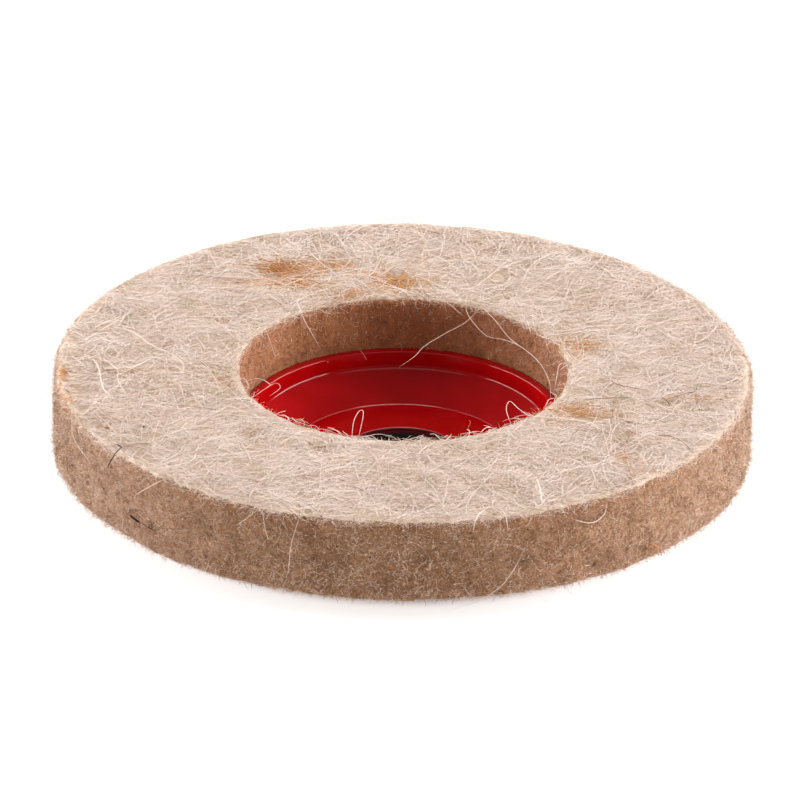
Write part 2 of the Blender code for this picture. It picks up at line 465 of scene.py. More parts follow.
def spun(section, steps):
    """A section (radius, height) turned about Z in equal steps, as points (step, point, 3)."""
    turn = np.linspace(0, math.tau, steps, endpoint=False)[:, None]
    height = np.broadcast_to(section[:, 1], (steps, len(section)))
    return np.stack([np.cos(turn) * section[:, 0], np.sin(turn) * section[:, 0], height], axis=-1)


def ring_mesh(name, points):
    """A smooth closed mesh from points (step, point, 3) that go round the axis."""
    index = np.arange(points.size // 3).reshape(points.shape[:2])
    after, below = np.roll(index, -1, axis=0), np.roll(index, -1, axis=1)
    faces = np.stack([index, below, np.roll(below, -1, axis=0), after], axis=-1).reshape(-1, 4)
    mesh = bpy.data.meshes.new(name)
    mesh.from_pydata(points.reshape(-1, 3).tolist(), [], faces.tolist())
    mesh.shade_smooth()
    return mesh


def noise_at(points, size, shift=0.0):
    """Smooth noise, about -0.7 to 0.7, whose features are about size across, at each point of an array."""
    rows = (points.reshape(-1, 3) / size + shift).tolist()
    return np.array([noise.noise(row) for row in rows]).reshape(points.shape[:-1])


def stain_at(x, y):
    """How strongly the felt is stained at each place, from 0 to 1."""
    total = np.zeros_like(x)
    for middle_x, middle_y, half_length, half_width, strength in STAINS:
        along = (x / MM - middle_x) / half_length
        across = (y / MM - middle_y) / half_width
        total = np.maximum(total, strength * np.exp(-1.2 * (along**2 + across**2)))
    return total


def slow_relief(points):
    """How far the felt stands out of its plain shape, over distances that a fibre follows."""
    return 0.25 * MM * noise_at(points, 24 * MM, 3.1) + 0.22 * MM * noise_at(points, 4 * MM, 7.7)


def snug(z):
    """How far the hole's wall leans in, so that it meets the plate's collar."""
    return COLLAR_GRIP * np.clip(1 + (PLATE_HIGH.z - z) / GRIP_FADES_OVER, 0, 1)


def felt_section():
    """The section's points, outward directions and share of cut face, from the face's rim edge round."""
    high, low, rim, bore = FACE_Z - EDGE, BACK_Z + EDGE, OUTER - EDGE, HOLE + EDGE
    corners = [(rim, high, 90), (rim, low, 0), (bore, low, -90), (bore, high, -180)]
    rows_after = [WALL_ROWS, BACK_ROWS, WALL_ROWS, FACE_ROWS]
    places, directions = [], []
    for i, (r, z, first) in enumerate(corners):
        angles = np.radians(first - np.linspace(0, 90, EDGE_ROWS))
        out = np.stack([np.cos(angles), np.sin(angles)], axis=1)
        places.append(np.array([r, z]) + EDGE * out)
        directions.append(out)
        next_r, next_z, _ = corners[(i + 1) % 4]
        share = np.linspace(0, 1, rows_after[i] + 2)[1:-1, None]
        start = places[-1][-1]
        end = np.array([next_r, next_z]) + EDGE * out[-1]
        places.append(start + share * (end - start))
        directions.append(np.repeat(out[-1:], rows_after[i], axis=0))
    return np.concatenate(places), np.concatenate(directions)


def felt_body(material):
    """The felt ring itself, with an uneven, slightly ragged surface."""
    section, outward = felt_section()
    points, normals = spun(section, ROUND_STEPS), spun(outward, ROUND_STEPS)
    # cut goes from 0 on the face and the back to 1 on the walls, and corner is 1 midway round an edge
    cut = 1 - np.maximum(outward[:, 1], 0) ** 2 - np.maximum(-outward[:, 1], 0) ** 8
    corner = 2 * np.abs(outward[:, 0] * outward[:, 1])
    on_hole_wall = outward[:, 0] < -0.7
    lift = slow_relief(points)
    lift += (0.10 + 0.10 * corner) * MM * noise_at(points, 1.6 * MM)
    lift += (0.05 + 0.05 * cut) * MM * noise_at(points, 0.7 * MM)
    lift -= BODY_SUNK
    lift += snug(section[:, 1]) * on_hole_wall
    points += normals * lift[..., None]
    mesh = ring_mesh("felt_body", points)
    mesh.materials.append(material)
    on_face = (points[..., 2] > FACE_Z - 2 * EDGE) * stain_at(points[..., 0], points[..., 1])
    for name, values in (("cut", np.broadcast_to(cut, lift.shape)), ("stain", on_face)):
        attribute = mesh.attributes.new(name, "FLOAT", "POINT")
        attribute.data.foreach_set("value", values.ravel().astype(np.float32))
    body = new_piece("felt_body", mesh)
    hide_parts("felt_ring")


# ----------------------------------------
# Fibres
# ----------------------------------------


TUBE_SIDES = 3
TIP_WIDTH = 0.35  # as a share of a fibre's thickness
TIP_WIDENS = 3.5  # in shares of its thickness over its whole length


def tubes(name, paths, thickness, shades, looks):
    """One piece of closed three-sided tubes along paths (fibre, point, 3), thinner at their ends."""
    count, steps = paths.shape[:2]
    along = np.gradient(paths, axis=1)
    along /= np.linalg.norm(along, axis=2, keepdims=True) + 1e-12
    chord = along.mean(axis=1, keepdims=True)
    helper = np.where(np.abs(chord[..., 2:]) < 0.8, [[[0.0, 0.0, 1.0]]], [[[1.0, 0.0, 0.0]]])
    across = np.cross(helper, along)
    across /= np.linalg.norm(across, axis=2, keepdims=True)
    over = np.cross(along, across)
    t = np.linspace(0, 1, steps)
    taper = np.minimum(1.0, TIP_WIDTH + TIP_WIDENS * np.minimum(t, 1 - t))
    radius = thickness[:, None] / 2 * taper
    rings = np.empty((count, steps, TUBE_SIDES, 3))
    for k in range(TUBE_SIDES):
        angle = math.tau * k / TUBE_SIDES
        rings[:, :, k] = paths + radius[..., None] * (math.cos(angle) * across + math.sin(angle) * over)
    index = np.arange(count * steps * TUBE_SIDES).reshape(count, steps, TUBE_SIDES)
    turned = np.roll(index, -1, axis=2)
    walls = np.stack([index[:, :-1], turned[:, :-1], turned[:, 1:], index[:, 1:]], axis=-1).reshape(-1, 4)
    caps = np.concatenate([index[:, 0, ::-1], index[:, -1]])
    mesh = bpy.data.meshes.new(name)
    mesh.from_pydata(rings.reshape(-1, 3).tolist(), [], walls.tolist() + caps.tolist())
    mesh.shade_smooth()
    used = sorted(set(shades.tolist()))
    for shade in used:
        mesh.materials.append(looks[shade])
    slots = np.searchsorted(used, shades)
    per_face = np.concatenate([np.repeat(slots, (steps - 1) * TUBE_SIDES), slots, slots])
    mesh.polygons.foreach_set("material_index", per_face.astype(np.int32))
    return new_piece(name, mesh)


def wander(rng, middles, heading, length, steps, bend):
    """Plans (fibre, point, 2) of winding fibres on a flat sheet, each about its middle."""
    count = len(middles)
    t = np.linspace(0, 1, steps)
    phase = rng.uniform(0, math.tau, (2, count, 1))
    pace = rng.uniform(0.25, 0.9, (count, 1))  # waves along the fibre
    heading = heading[:, None] + bend[:, None] * np.sin(math.tau * pace * t + phase[0])
    heading = heading + 0.3 * bend[:, None] * np.sin(math.tau * 2.6 * pace * t + phase[1])
    step = (length / (steps - 1))[:, None, None]
    walk = np.cumsum(step * np.stack([np.cos(heading), np.sin(heading)], axis=-1), axis=1)
    return walk - walk.mean(axis=1, keepdims=True) + middles[:, None]


def pick(rng, weights, count):
    """Random shades, as indexes into SHADES, with the given weights by name."""
    names = list(weights)
    share = np.array([weights[n] for n in names], float)
    chosen = rng.choice(len(names), size=count, p=share / share.sum())
    return np.array([SHADE_NAMES.index(n) for n in names])[chosen]


def scattered(rng, count, inner, outer):
    """Random places on a flat ring, as (place, 2)."""
    radius = np.sqrt(rng.uniform(inner**2, outer**2, count))
    turn = rng.uniform(0, math.tau, count)
    return np.stack([radius * np.cos(turn), radius * np.sin(turn)], axis=1)


def pulled_in(rng, plans, spill):
    """Moves each plan along its radius, until it passes the felt's edges by only a short, uneven spill."""
    radius = np.linalg.norm(plans, axis=2)
    middle = plans.mean(axis=1)
    outward = middle / np.linalg.norm(middle, axis=1, keepdims=True)
    places = np.concatenate([middle, np.zeros((len(plans), 1))], axis=1)
    allowed = rng.exponential(spill, len(plans)) + 4 * spill * noise_at(places, 3.5 * MM, 6.6)
    too_far = np.maximum(radius.max(axis=1) - OUTER - allowed, 0)
    too_near = np.maximum(HOLE - allowed - radius.min(axis=1), 0)
    return plans + (outward * (too_near - too_far)[:, None])[:, None]


def draped(plans, height, side=1):
    """Lays plans on the felt's face (side 1) or back (side -1). What passes an edge bends over it."""
    radius = np.linalg.norm(plans, axis=2)
    outward = plans / radius[..., None]
    past_rim = np.maximum(radius - (OUTER - EDGE), 0)
    past_hole = np.maximum((HOLE + EDGE) - radius, 0)
    past = past_rim + past_hole
    angle = np.minimum(past / EDGE, math.pi / 2)
    reach = (EDGE + height) * np.sin(angle)
    drop = (EDGE + height) * (1 - np.cos(angle)) + np.maximum(past - EDGE * math.pi / 2, 0)
    new_radius = radius - past_rim + past_hole + np.where(past_rim > 0, reach, -reach)
    points = np.empty((*radius.shape, 3))
    points[..., :2] = outward * new_radius[..., None]
    points[..., 2] = FACE_Z if side > 0 else BACK_Z
    points[..., 2] += side * (slow_relief(points) + height - drop)
    return points


def arched(rng, count, steps, base, rise):
    """Heights (fibre, point) that start and end low and rise between."""
    t = np.linspace(0, 1, steps)
    low = rng.uniform(*base, (count, 1))
    return low + rng.uniform(*rise, (count, 1)) * np.sin(math.pi * t)


def stained(rng, shades, plans):
    """Turns fibres that lie in a stain rusty or amber, more of them where the stain is stronger."""
    middle = plans.mean(axis=1)
    stain = stain_at(middle[:, 0], middle[:, 1])
    hit = rng.uniform(0, 1, len(plans)) < 1.3 * stain
    rusty = rng.uniform(0, 1, len(plans)) < 0.5 * stain
    colour = np.where(rusty, SHADE_NAMES.index("rust"), SHADE_NAMES.index("amber"))
    return np.where(hit, colour, shades)


# Mixes of shades, by weight
FACE_MIX = {"pale": 28, "cream": 46, "straw": 11, "tan": 5, "olive": 8, "brown": 1.3, "dark": 0.1}
# In WALL_MIX and HOLE_MIX the umber fibres are partly real dark fibres and partly painted shade of the gaps
# between fibres
WALL_MIX = {"cream": 7, "straw": 16, "tan": 36, "russet": 8, "brown": 24, "umber": 9}
HOLE_MIX = {"cream": 2, "straw": 6, "hazel": 45, "russet": 21, "brown": 18, "umber": 8}
BLOOM_MIX = {"pale": 20, "cream": 45, "straw": 35}
LOOSE_MIX = {"pale": 4, "cream": 22, "straw": 26, "tan": 42, "brown": 6}
TOP_MIX = {"cream": 6, "straw": 12, "tan": 34, "russet": 31, "brown": 17}
STRAND_MIX = {"pale": 74, "cream": 25, "brown": 0.8, "dark": 0.5}
CURL_MIX = {"pale": 60, "cream": 36, "tan": 4}


def ranked(rng, mix, points, pull, clouds, depth=0.0):
    """Shades dealt from a mix in its order. Its last ones go where depth is large, and in soft clouds of
    the given size in millimetres, which count for more where pull is larger."""
    cloud = noise_at(points, clouds * MM, 5.3) + 0.5 * noise_at(points, clouds / 3 * MM, 9.1)
    order = np.argsort(np.argsort(rng.uniform(0, 1, len(points)) + pull * cloud + depth))
    share = (order + 0.5) / len(points)
    steps = np.cumsum(list(mix.values()))
    chosen = np.searchsorted(steps / steps[-1], share, side="right")
    return np.array([SHADE_NAMES.index(name) for name in mix])[chosen]


def lying(rng, middles, length, steps, bend, spill, base, rise):
    """Plans and heights of fibres that lie on the felt. bend, base and rise are each a range."""
    count = len(middles)
    heading = rng.uniform(0, math.tau, count)
    plans = wander(rng, middles, heading, length, steps, rng.uniform(*bend, count))
    plans = pulled_in(rng, plans, spill)
    return plans, arched(rng, count, steps, base, rise)


def face_mat(name, seed, count, looks):
    """Fibres matted flat on the working face."""
    rng = np.random.default_rng(seed)
    steps = 7
    middles = scattered(rng, count, HOLE, OUTER)
    length = np.clip(rng.lognormal(math.log(6.0), 0.45, count), 2.0, 15) * MM
    base, rise = (-0.10 * MM, 0.08 * MM), (0.0, 0.22 * MM)
    plans, heights = lying(rng, middles, length, steps, (0.05, 0.65), 0.25 * MM, base, rise)
    points = draped(plans, heights)
    # Painted shade: the lower a fibre lies in the mat, the darker the shade it gets from the mix
    depth = -2.6 * heights.mean(axis=1) / MM
    shades = stained(rng, ranked(rng, FACE_MIX, points[:, steps // 2], 0.7, 2.6, depth), plans)
    tubes(name, points, rng.uniform(0.036, 0.070, count) * MM, shades, looks)


def face_strands(looks):
    """Longer, paler strands that lie loosely on the mat."""
    rng = np.random.default_rng(31)
    count, steps = 600, 14
    middles = scattered(rng, count, HOLE + 1 * MM, OUTER - 1 * MM)
    length = rng.uniform(6, 22, count) * MM
    base, rise = (0.05 * MM, 0.12 * MM), (0.05 * MM, 0.35 * MM)
    plans, heights = lying(rng, middles, length, steps, (0.05, 0.7), 0.5 * MM, base, rise)
    shades = stained(rng, pick(rng, STRAND_MIX, count), plans)
    tubes("face_strands", draped(plans, heights), rng.uniform(0.035, 0.075, count) * MM, shades, looks)


def back_mat(looks):
    """Fibres on the part of the felt's back that the plate leaves open."""
    rng = np.random.default_rng(41)
    count, steps = 3000, 6
    middles = scattered(rng, count, PLATE_HIGH.x - 1 * MM, OUTER - 1 * MM)
    length = rng.uniform(2.5, 7, count) * MM
    base, rise = (-0.08 * MM, 0.05 * MM), (0.0, 0.2 * MM)
    plans, heights = lying(rng, middles, length, steps, (0.1, 0.8), 0.01 * MM, base, rise)
    shades = pick(rng, FACE_MIX, count)
    points = draped(plans, heights, -1)
    tubes("back_mat", points, rng.uniform(0.07, 0.12, count) * MM, shades, looks)


def cut_shades(rng, mix, points):
    """Shades for fibres on a cut wall: in soft clouds, and redder just under the face."""
    depth = FACE_Z - points[:, 2] + 0.8 * MM * noise_at(points, 2.4 * MM, 2.2)
    patches = np.clip(0.5 + 0.9 * noise_at(points, 5 * MM, 6.1), 0.15, 0.85)
    near_top = rng.uniform(0, 1, len(points)) < patches * np.clip(1.2 - depth / (2.8 * MM), 0, 1)
    grain = 1.1 * noise_at(points, 0.45 * MM, 1.7)
    redder = pick(rng, TOP_MIX, len(points))
    return np.where(near_top, redder, ranked(rng, mix, points, 0.6, 3.2, grain))


def wall_bristles(name, seed, count, wall, lowest, mix, looks):
    """Short fibre ends on a cut wall. They point any way along it and lean out of it."""
    rng = np.random.default_rng(seed)
    radius, facing = wall
    steps = 3
    turn = rng.uniform(0, math.tau, count)
    z = rng.uniform(lowest, FACE_Z - 0.3 * MM, count)
    out = np.stack([np.cos(turn), np.sin(turn), np.zeros(count)], axis=1) * facing
    side = np.stack([-np.sin(turn), np.cos(turn), np.zeros(count)], axis=1)
    up = np.array([0.0, 0.0, 1.0])
    heading = rng.uniform(0, math.tau, count)[:, None]
    flat = np.cos(heading) * side + np.sin(heading) * up
    bent = rng.normal(0, 0.5, (count, 1)) * (-np.sin(heading) * side + np.cos(heading) * up)
    lean = rng.uniform(0.1, 1.0, count)[:, None]
    length = np.clip(rng.lognormal(math.log(0.52), 0.4, count), 0.22, 1.5)[:, None] * MM
    near_edge = np.maximum(EDGE - np.minimum(z - BACK_Z, FACE_Z - z), 0)
    edge_inset = near_edge**2 / (2 * EDGE)
    foot = out * facing * radius
    foot[:, 2] = z
    foot -= out * (edge_inset + BODY_SUNK)[:, None]
    foot += out * (slow_relief(foot) + snug(z) * (facing < 0))[:, None]
    t = np.linspace(0, 1, steps)[None, :, None]
    run = (flat * np.cos(lean))[:, None] * t + bent[:, None] * t**2 * 0.6
    rise = (out * np.sin(lean))[:, None] * t * (1.15 - 0.35 * t)
    paths = foot[:, None] + length[:, None] * (run + rise)
    tubes(name, paths, rng.uniform(0.040, 0.085, count) * MM, cut_shades(rng, mix, foot), looks)


# How loose ends stand: up to how far they turn off the wall's outward direction, in radians, and the
# least and most that they climb, as a share of their length
ANY_WAY = (0.9, (-0.5, 0.5))
UPWARD = (0.4, (0.2, 0.8))
ROOT_DEPTH = 0.8  # in millimetres, the most by which a loose end is rooted inside the wall


def fuzz(name, seed, count, wall, levels, reach, thick, mix, stance, looks):
    """Loose fibre ends that stand out of a wall between two levels."""
    rng = np.random.default_rng(seed)
    spread, rise = stance
    wall_radius, facing = wall
    steps = 6
    turn = rng.uniform(0, math.tau, count)
    radius = wall_radius + facing * rng.uniform(-ROOT_DEPTH, 0.0, count) * MM
    roots = np.stack([radius * np.cos(turn), radius * np.sin(turn)], axis=1)
    heading = turn + (0 if facing > 0 else math.pi) + rng.uniform(-spread, spread, count)
    length = np.clip(rng.lognormal(math.log(reach), 0.45, count), 0.4 * MM, 5 * reach)
    plans = wander(rng, roots, heading, length, steps, rng.uniform(0.1, 1.0, count))
    plans += roots[:, None] - plans[:, :1]
    t = np.linspace(0, 1, steps)
    climb = rng.uniform(*rise, (count, 1)) * length[:, None] * t
    curl = 0.15 * length[:, None] * np.sin(math.pi * t * rng.uniform(0.5, 1.6, (count, 1)))
    points = np.concatenate([plans, np.empty((count, steps, 1))], axis=2)
    points[..., 2] = rng.uniform(*levels, (count, 1)) + climb + curl
    tubes(name, points, rng.uniform(0.5, 1.1, count) * thick, pick(rng, mix, count), looks)


def hole_curls(looks):
    """Loose, curly fibres that hang over the hole's top edge, most of them on one side of it."""
    rng = np.random.default_rng(81)
    count, steps = 95, 12
    bunched = rng.uniform(0, 1, count) < 0.75
    on_one_side = rng.normal(-math.pi / 2, 0.6, count)
    anywhere = rng.uniform(0, math.tau, count)
    turn = np.where(bunched, on_one_side, anywhere)
    radius = HOLE + rng.uniform(-0.5, 0.4, count) * MM
    middles = np.stack([radius * np.cos(turn), radius * np.sin(turn)], axis=1)
    length = rng.uniform(1.5, 4.5, count) * MM
    heading = turn + math.pi / 2 + rng.normal(0, 0.5, count)
    plans = wander(rng, middles, heading, length, steps, rng.uniform(0.1, 0.8, count))
    t = np.linspace(0, 1, steps)
    points = np.concatenate([plans, np.empty((count, steps, 1))], axis=2)
    rise = rng.uniform(-0.3, 0.6, (count, 1)) * np.sin(math.pi * t)
    points[..., 2] = FACE_Z + (rng.uniform(-0.3, 0.2, (count, 1)) + rise) * MM
    shades = pick(rng, CURL_MIX, count)
    tubes("hole_curls", points, rng.uniform(0.050, 0.095, count) * MM, shades, looks)


# Specks: shade, thickness (mm), and two places (mm), z from the felt's face
SPECKS = [
    ("dark", 0.22, (-21.9, -42.6, 0.3), (-21.5, -42.5, 0.3)),
    ("dark", 0.18, (-11.4, -48.9, 0.3), (-11.1, -48.9, 0.2)),
    ("rust", 0.20, (-2.9, -38.6, 0.3), (-2.4, -38.5, 0.3)),
    ("brown", 0.18, (-14.8, -34.0, 0.3), (-14.3, -33.9, 0.3)),
    ("dark", 0.26, (-37.0, -21.2, 0.4), (-36.7, -21.1, 0.4)),
    ("brown", 0.28, (-42.5, -21.5, 0.4), (-41.6, -21.7, 0.4)),
    ("dark", 0.20, (17.1, -47.1, -7.3), (18.1, -46.7, -7.1)),
    ("dark", 0.14, (17.0, -47.1, -7.9), (17.6, -46.9, -8.0)),
    ("dark", 0.16, (-7.5, -49.6, -5.9), (-7.1, -49.7, -6.1)),
    ("dark", 0.14, (-4.4, -50.0, -5.5), (-4.1, -50.0, -5.6)),
    ("rust", 0.16, (-1.9, -50.1, -7.2), (-0.7, -50.1, -7.1)),
    ("brown", 0.18, (-0.5, -50.1, -7.1), (1.2, -50.1, -6.8)),
    ("dark", 0.15, (5.5, -49.9, -3.2), (5.8, -49.9, -3.4)),
    ("pale", 0.22, (-11.1, 18.7, -8.0), (-10.9, 18.8, -8.0)),
]


def specks(looks):
    """The bits of bark and lint that carding leaves in wool, as short thick tubes."""
    ends = np.array([(first, last) for _, _, first, last in SPECKS]) * MM
    ends[..., 2] += FACE_Z
    t = np.linspace(0, 1, 4)[:, None]
    paths = ends[:, None, 0] * (1 - t) + ends[:, None, 1] * t
    thickness = np.array([width for _, width, _, _ in SPECKS]) * MM
    shades = np.array([SHADE_NAMES.index(shade) for shade, _, _, _ in SPECKS])
    tubes("specks", paths, thickness, shades, looks)


def smooth_route(points, steps):
    """A Catmull-Rom curve through a few points, in millimetres, read at equal shares of its run."""
    points = np.array(points, float) * MM
    ends = np.concatenate([2 * points[:1] - points[1:2], points, 2 * points[-1:] - points[-2:-1]])
    at = np.linspace(0, len(points) - 1, steps)
    span = np.minimum(at.astype(int), len(points) - 2)
    t = (at - span)[:, None]
    a, b, c, d = (ends[span + k] for k in range(4))
    return 0.5 * (2 * b + (c - a) * t + (2 * a - 5 * b + 4 * c - d) * t**2 + (3 * b - a - 3 * c + d) * t**3)


# Long hairs that can be told apart: shade, thickness (mm), and places (mm), z from the felt's face
STRAY_HAIRS = [
    ("pale", 0.13, [(-15.6, 21.8, 0.2), (-15.0, 18.4, 0.3), (-14.2, 18.2, -1.6), (-12.1, 18.9, -5.8)]),
    ("pale", 0.12, [(-20.2, 13.0, 0.3), (-19.2, 12.9, -2.4), (-18.5, 13.4, -5.2)]),
    ("cream", 0.08, [(-6.4, 21.0, -7.0), (-5.9, 20.4, -7.3), (-5.3, 19.6, -8.0)]),
    ("pale", 0.10, [(22.7, 16.7, 0.3), (21.4, 14.6, 0.2), (20.2, 12.9, -1.4)]),
    ("cream", 0.08, [(-16.0, 47.3, 0.2), (-15.0, 49.0, 0.8), (-13.6, 50.2, 1.4)]),
    ("pale", 0.10, [(2.1, 26.3, 0.1), (5.6, 22.9, 0.3), (8.6, 20.8, -1.2)]),
    ("pale", 0.10, [(9.0, 22.6, 0.3), (9.3, 20.2, -0.8), (11.9, 17.8, -2.9), (14.4, 15.9, -2.6),
        (16.9, 13.2, -2.4), (19.7, 8.6, -2.8), (21.1, 3.6, -3.5), (21.3, 1.0, -4.8)]),
    ("pale", 0.10, [(11.0, 21.4, 0.3), (13.2, 18.6, -0.8), (15.3, 15.6, -2.2), (17.2, 13.0, -2.5)]),
    ("cream", 0.07, [(11.4, 21.2, 0.3), (9.0, 18.8, -1.3), (6.2, 17.4, -2.4), (3.1, 14.6, -3.2),
        (1.6, 12.2, -3.8), (-0.6, 10.6, -4.8)]),
    ("pale", 0.10, [(21.8, -1.4, -2.2), (22.2, 0.6, -0.6), (22.6, 2.0, 0.2), (24.4, 2.4, 0.3)]),
    ("pale", 0.09, [(15.6, -18.6, 0.1), (14.8, -15.2, 1.0), (15.3, -12.9, 1.3), (16.6, -14.6, 0.9),
        (18.4, -16.2, 0.5), (20.6, -15.6, 0.3)]),
    ("pale", 0.08, [(-7.2, -23.0, 0.0), (-6.9, -20.6, 1.6), (-6.1, -19.0, 2.4), (-5.6, -19.6, 2.2),
        (-6.2, -23.0, 0.1)]),
    ("cream", 0.06, [(-21.6, -10.6, 0.1), (-19.8, -9.0, 0.8), (-18.2, -7.6, 1.1), (-17.6, -8.8, 0.9),
        (-19.0, -10.8, 0.6)]),
    ("pale", 0.07, [(-23.4, -6.0, 0.1), (-21.4, -5.4, 0.7), (-20.0, -6.2, 0.9), (-18.8, -7.4, 0.6)]),
    ("pale", 0.13, [(10.1, -49.5, -1.6), (10.7, -48.6, 0.4), (12.4, -46.6, 0.9), (14.4, -47.4, 0.6),
        (15.1, -48.6, -1.8)]),
    ("pale", 0.12, [(17.0, -47.6, -6.2), (15.6, -48.4, -8.6), (14.0, -48.8, -10.6), (11.0, -49.6, -12.4),
        (7.0, -50.2, -13.6)]),
    ("pale", 0.15, [(19.0, -35.4, 0.3), (19.5, -39.6, 0.6), (19.8, -44.0, 0.3)]),
    ("pale", 0.11, [(24.4, -43.9, -2.2), (26.8, -42.8, -3.2), (28.5, -41.6, -2.6), (29.0, -41.4, -0.9)]),
    ("dark", 0.17, [(-39.8, -28.3, 0.5), (-40.6, -29.4, 0.2), (-41.3, -29.9, -0.9),
        (-41.9, -29.6, -2.2)]),
    ("dark", 0.17, [(-40.6, -27.2, 0.5), (-40.1, -27.7, 0.5), (-39.7, -28.3, 0.4)]),
    ("brown", 0.10, [(-39.8, -28.2, 0.5), (-37.6, -26.9, 0.5), (-35.6, -26.4, 0.3)]),
    ("brown", 0.10, [(23.7, -23.8, 0.3), (24.6, -21.2, 0.5), (26.2, -19.8, 0.4), (28.0, -20.8, 0.2)]),
    ("brown", 0.11, [(36.0, -21.4, 0.3), (38.2, -21.8, 0.4), (40.0, -23.8, 0.4), (41.4, -26.6, 0.1)]),
    ("brown", 0.10, [(26.0, -9.9, 0.3), (30.0, -9.4, 0.4), (33.0, -8.8, 0.2)]),
    ("brown", 0.10, [(29.6, -3.2, 0.3), (31.2, -5.2, 0.4), (35.2, -6.4, 0.2)]),
    ("dark", 0.10, [(37.0, -8.6, 0.3), (37.8, -10.0, 0.3), (38.2, -11.4, 0.2)]),
    ("dark", 0.34, [(-38.5, -32.8, -7.9), (-37.8, -33.6, -8.1), (-37.0, -34.4, -8.3)]),
    ("dark", 0.14, [(-37.0, -34.4, -8.3), (-35.9, -35.5, -8.4), (-34.7, -36.6, -8.6)]),
    ("rust", 0.20, [(34.2, -37.5, -10.8), (34.8, -37.2, -10.1), (35.8, -36.5, -9.6),
        (36.7, -35.8, -10.6)]),
    ("copper", 0.20, [(35.8, -36.5, -9.6), (36.5, -36.0, -10.4), (36.9, -35.2, -11.4),
        (37.0, -34.6, -12.4)]),
    ("pale", 0.12, [(-48.6, 14.6, 0.2), (-46.0, 10.7, 0.3), (-40.3, 11.6, 0.3), (-36.4, 6.1, 0.4),
        (-33.2, 2.9, 0.3), (-31.6, -0.4, 0.4), (-31.7, -5.4, 0.2)]),
    ("pale", 0.15, [(-44.7, 1.5, 0.3), (-43.8, -1.8, 0.4), (-43.0, -8.4, 0.4), (-41.7, -10.7, 0.3)]),
    ("pale", 0.12, [(-43.2, 1.5, 0.3), (-41.1, -2.4, 0.4), (-40.9, -5.7, 0.4), (-39.6, -10.6, 0.3)]),
    ("cream", 0.10, [(-47.2, -18.0, 0.2), (-47.0, -18.5, -2.4), (-45.8, -21.3, -3.3),
        (-44.2, -24.4, -4.0)]),
    ("cream", 0.09, [(-37.7, -33.7, -4.3), (-36.0, -35.5, -2.3), (-33.6, -37.4, 0.1)]),
    ("cream", 0.08, [(-14.1, -48.0, 0.3), (-15.4, -48.3, -4.5), (-15.8, -48.2, -9.3)]),
    ("cream", 0.08, [(-19.6, -46.2, 0.0), (-19.1, -46.9, -3.0), (-18.6, -47.1, -4.5)]),
    ("straw", 0.09, [(-23.2, -45.0, -3.3), (-21.9, -45.6, -2.0), (-20.0, -45.9, -0.2)]),
]


def stray_hairs(looks):
    """The long hairs of STRAY_HAIRS, each on its own route."""
    steps = 22
    routes = []
    for _, _, places in STRAY_HAIRS:
        on_wheel = [(x, y, z + FACE_Z / MM) for x, y, z in places]
        routes.append(smooth_route(on_wheel, steps))
    thickness = np.array([width for _, width, _ in STRAY_HAIRS]) * MM
    shades = np.array([SHADE_NAMES.index(shade) for shade, _, _ in STRAY_HAIRS])
    tubes("stray_hairs", np.array(routes), thickness, shades, looks)


# ----------------------------------------
# The plate and its adhesive
# ----------------------------------------


FILLET_STEPS = 6
PLATE_STEPS = 288

# Radii of the CAD plate that its box doesn't give, in millimetres
BORE = 8.0
FLOOR_EDGE = 15.8
WALL_FOOT_RADIUS = 21.5
CREST_INNER = 21.9
COLLAR = 23.3

# Its levels, in millimetres
FLANGE_BACK = 0.8
HUB_FLOOR = 2.7
FLANGE_TOP = 3.0
WALL_FOOT = 6.05

# Its rim bead, and the ribs on its back, in millimetres
BEAD_WIDTH = 2.2
BEAD_FOOT_WIDTH = 2.6
BEAD_LEVEL = 0.4
COLLAR_RIBS = 12
COLLAR_RIB_WIDTH = 1.4
FLANGE_RIBS = 24
FLANGE_RIB_WIDTH = 1.2
FLANGE_RIB_HEIGHT = 0.5  # and the length of the slope at each of its ends
FLANGE_RIB_INNER = 25.5
FLANGE_RIB_OUTER = 38.0
RIB_OVERLAP = 0.5  # how far a flange rib runs into the flange
RIB_RECESS = 0.3  # how far the collar ribs stay under the flange's back
WALL = 2.0  # thickness of the dish

# The adhesive, in millimetres: the CAD leaves a gap to each piece that it joins
GLUE_OUTER = GLUE_HIGH.x / MM
GLUE_BOTTOM = GLUE_LOW.z / MM
GLUE_INNER = 27.3
GAP = 0.3


def rounded(corners):
    """Points of a closed outline from corners (radius, height, fillet), in millimetres."""
    points = []
    for i, (x, z, fillet) in enumerate(corners):
        here = Vector((x, z))
        if fillet == 0:
            points.append(here)
            continue
        before = (Vector(corners[i - 1][:2]) - here).normalized()
        after = (Vector(corners[(i + 1) % len(corners)][:2]) - here).normalized()
        half_angle = before.angle(after) / 2
        centre = here + (before + after).normalized() * fillet / math.sin(half_angle)
        start = here + before * fillet / math.tan(half_angle) - centre
        end = here + after * fillet / math.tan(half_angle) - centre
        sweep = start.angle_signed(end)
        for k in range(FILLET_STEPS + 1):
            turn = -sweep * k / FILLET_STEPS
            points.append(centre + Vector((
                start.x * math.cos(turn) - start.y * math.sin(turn),
                start.x * math.sin(turn) + start.y * math.cos(turn),
            )))
    return points


def turned_mesh(name, outline, steps, ripple=None):
    """A ring turned about Z from a closed outline in millimetres, which ripple may then move."""
    points = spun(np.array([tuple(p) for p in outline]) * MM, steps)
    if ripple is not None:
        points = ripple(points)
    return ring_mesh(name, points)


